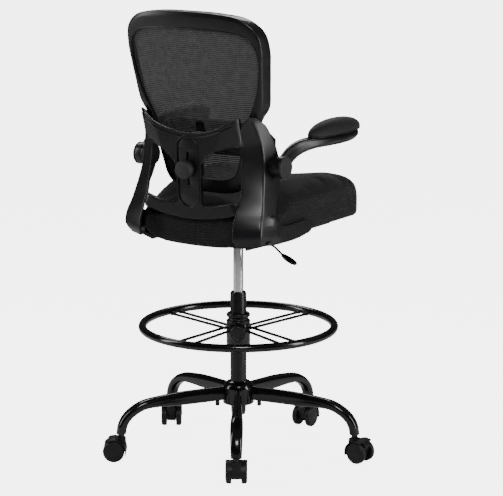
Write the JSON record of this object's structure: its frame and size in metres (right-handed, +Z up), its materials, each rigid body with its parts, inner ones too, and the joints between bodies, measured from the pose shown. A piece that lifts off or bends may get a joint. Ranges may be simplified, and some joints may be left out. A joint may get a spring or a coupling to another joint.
{
  "type": "drafting chair",
  "caption": "Tall swivel chair with stretched mesh back, sliding lumbar pad, flip-up arms, padded seat, adjustable foot ring and a star base on twin-wheel casters.",
  "frame": {"origin": "centre of the footprint's bounding box, at floor height", "axes": "+Z up; the sitter faces -Y; the sitter's left is +X"},
  "size_m": [0.7262, 0.667, 1.252],
  "materials": {
    "gloss_black_steel": "gloss black powder coat",
    "black_nylon": "satin moulded nylon, fine grain",
    "wheel_nylon": "satin moulded nylon",
    "plated_steel": "plated",
    "chrome_rod": "mirror",
    "seat_fabric": "black woven cloth, ribbed side panels",
    "back_mesh_cloth": "open black mesh with fine horizontal lines",
    "arm_pad_skin": "soft moulded skin, fine grain",
    "lumbar_foam": "black cloth over foam"
  },
  "bodies": {
    "base": {"base_hub": "gloss_black_steel", "base_leg_1": "gloss_black_steel", "base_leg_2": "gloss_black_steel", "base_leg_3": "gloss_black_steel", "base_leg_4": "gloss_black_steel", "base_leg_5": "gloss_black_steel", "lift_tube": "gloss_black_steel", "lift_bush": "black_nylon", "caster_stem_1": "plated_steel", "caster_stem_2": "plated_steel", "caster_stem_3": "plated_steel", "caster_stem_4": "plated_steel", "caster_stem_5": "plated_steel"},
    "lift": {"lift_rod": "chrome_rod"},
    "foot_ring_body": {"foot_ring": "gloss_black_steel", "foot_ring_collar": "black_nylon"},
    "ring_clamp": {"foot_ring_knob": "black_nylon"},
    "seat": {"seat_mechanism": "gloss_black_steel", "seat_pan": "black_nylon", "seat_cushion": "seat_fabric", "side_bracket_left": "black_nylon", "side_bracket_right": "black_nylon", "arm_pivot_left": "black_nylon", "arm_pivot_right": "black_nylon", "back_frame": "black_nylon", "back_mesh": "back_mesh_cloth", "back_bracket": "black_nylon", "slot_insert": "black_nylon"},
    "lever": {"lever_rod": "plated_steel", "lever_grip": "black_nylon"},
    "lumbar": {"lumbar_carrier": "black_nylon", "lumbar_pad": "lumbar_foam"},
    "lumbar_clamp": {"lumbar_knob": "black_nylon"},
    "left_arm": {"arm_left": "black_nylon", "arm_cap_left": "black_nylon", "arm_pad_left": "arm_pad_skin"},
    "right_arm": {"arm_right": "black_nylon", "arm_cap_right": "black_nylon", "arm_pad_right": "arm_pad_skin"},
    "caster_1": {"caster_hood_1": "black_nylon", "caster_axle_1": "plated_steel"},
    "wheel_left_1": {"caster_wheel_left_1": "wheel_nylon"},
    "wheel_right_1": {"caster_wheel_right_1": "wheel_nylon"},
    "caster_2": {"caster_hood_2": "black_nylon", "caster_axle_2": "plated_steel"},
    "wheel_left_2": {"caster_wheel_left_2": "wheel_nylon"},
    "wheel_right_2": {"caster_wheel_right_2": "wheel_nylon"},
    "caster_3": {"caster_hood_3": "black_nylon", "caster_axle_3": "plated_steel"},
    "wheel_left_3": {"caster_wheel_left_3": "wheel_nylon"},
    "wheel_right_3": {"caster_wheel_right_3": "wheel_nylon"},
    "caster_4": {"caster_hood_4": "black_nylon", "caster_axle_4": "plated_steel"},
    "wheel_left_4": {"caster_wheel_left_4": "wheel_nylon"},
    "wheel_right_4": {"caster_wheel_right_4": "wheel_nylon"},
    "caster_5": {"caster_hood_5": "black_nylon", "caster_axle_5": "plated_steel"},
    "wheel_left_5": {"caster_wheel_left_5": "wheel_nylon"},
    "wheel_right_5": {"caster_wheel_right_5": "wheel_nylon"}
  },
  "joints": [
    {"name": "lift_slide", "type": "slide", "parent": "base", "child": "lift", "axis": [0, 0, 1], "range_m": [-0.11, 0.09]},
    {"name": "seat_swivel", "type": "hinge", "parent": "lift", "child": "seat", "pos_m": [0.01742, 0.01919, 0.592], "axis": [0, 0, 1], "continuous": true},
    {"name": "lever_lift", "type": "hinge", "parent": "seat", "child": "lever", "pos_m": [-0.03258, -0.00081, 0.594], "axis": [0, 1, 0], "range_deg": [0, 8], "stiffness_Nm_per_rad": 3, "springref_deg": -8.59},
    {"name": "arm_flip_left", "type": "hinge", "parent": "seat", "child": "left_arm", "pos_m": [0.23942, 0.15119, 0.841], "axis": [-1, 0, 0], "range_deg": [0, 90]},
    {"name": "arm_flip_right", "type": "hinge", "parent": "seat", "child": "right_arm", "pos_m": [-0.20458, 0.15119, 0.841], "axis": [-1, 0, 0], "range_deg": [0, 90]},
    {"name": "lumbar_slide", "type": "slide", "parent": "seat", "child": "lumbar", "axis": [0, 0.063, 0.998], "range_m": [-0.03, 0.035]},
    {"name": "lumbar_knob_turn", "type": "hinge", "parent": "lumbar", "child": "lumbar_clamp", "pos_m": [0.01742, 0.27919, 0.834], "axis": [0, 1, 0], "continuous": true},
    {"name": "foot_ring_slide", "type": "slide", "parent": "base", "child": "foot_ring_body", "axis": [0, 0, 1], "range_m": [-0.08, 0.05]},
    {"name": "foot_ring_knob_turn", "type": "hinge", "parent": "foot_ring_body", "child": "ring_clamp", "pos_m": [-0.00908, 0.06159, 0.347], "axis": [-0.5299, 0.848, 0], "continuous": true},
    {"name": "caster_swivel_1", "type": "hinge", "parent": "base", "child": "caster_1", "pos_m": [-0.1617, 0.30583, 0.06], "axis": [0, 0, 1], "continuous": true},
    {"name": "wheel_spin_left_1", "type": "hinge", "parent": "caster_1", "child": "wheel_left_1", "pos_m": [-0.1511, 0.28887, 0.03], "axis": [0.848, 0.5299, 0], "continuous": true},
    {"name": "wheel_spin_right_1", "type": "hinge", "parent": "caster_1", "child": "wheel_right_1", "pos_m": [-0.1511, 0.28887, 0.03], "axis": [0.848, 0.5299, 0], "continuous": true},
    {"name": "caster_swivel_2", "type": "hinge", "parent": "base", "child": "caster_2", "pos_m": [-0.31054, -0.06258, 0.06], "axis": [0, 0, 1], "continuous": true},
    {"name": "wheel_spin_left_2", "type": "hinge", "parent": "caster_2", "child": "wheel_left_2", "pos_m": [-0.33047, -0.06084, 0.03], "axis": [-0.0872, -0.9962, 0], "continuous": true},
    {"name": "wheel_spin_right_2", "type": "hinge", "parent": "caster_2", "child": "wheel_right_2", "pos_m": [-0.33047, -0.06084, 0.03], "axis": [-0.0872, -0.9962, 0], "continuous": true},
    {"name": "caster_swivel_3", "type": "hinge", "parent": "base", "child": "caster_3", "pos_m": [-0.00616, -0.31799, 0.06], "axis": [0, 0, 1], "continuous": true},
    {"name": "wheel_spin_left_3", "type": "hinge", "parent": "caster_3", "child": "wheel_left_3", "pos_m": [-0.00686, -0.298, 0.03], "axis": [-0.9994, -0.0349, 0], "continuous": true},
    {"name": "wheel_spin_right_3", "type": "hinge", "parent": "caster_3", "child": "wheel_right_3", "pos_m": [-0.00686, -0.298, 0.03], "axis": [-0.9994, -0.0349, 0], "continuous": true},
    {"name": "caster_swivel_4", "type": "hinge", "parent": "base", "child": "caster_4", "pos_m": [0.33081, -0.10743, 0.06], "axis": [0, 0, 1], "continuous": true},
    {"name": "wheel_spin_left_4", "type": "hinge", "parent": "caster_4", "child": "wheel_left_4", "pos_m": [0.32021, -0.09047, 0.03], "axis": [-0.848, -0.5299, 0], "continuous": true},
    {"name": "wheel_spin_right_4", "type": "hinge", "parent": "caster_4", "child": "wheel_right_4", "pos_m": [0.32021, -0.09047, 0.03], "axis": [-0.848, -0.5299, 0], "continuous": true},
    {"name": "caster_swivel_5", "type": "hinge", "parent": "base", "child": "caster_5", "pos_m": [0.23468, 0.27811, 0.06], "axis": [0, 0, 1], "continuous": true},
    {"name": "wheel_spin_left_5", "type": "hinge", "parent": "caster_5", "child": "wheel_left_5", "pos_m": [0.25164, 0.28871, 0.03], "axis": [-0.5299, 0.848, 0], "continuous": true},
    {"name": "wheel_spin_right_5", "type": "hinge", "parent": "caster_5", "child": "wheel_right_5", "pos_m": [0.25164, 0.28871, 0.03], "axis": [-0.5299, 0.848, 0], "continuous": true}
  ]
}
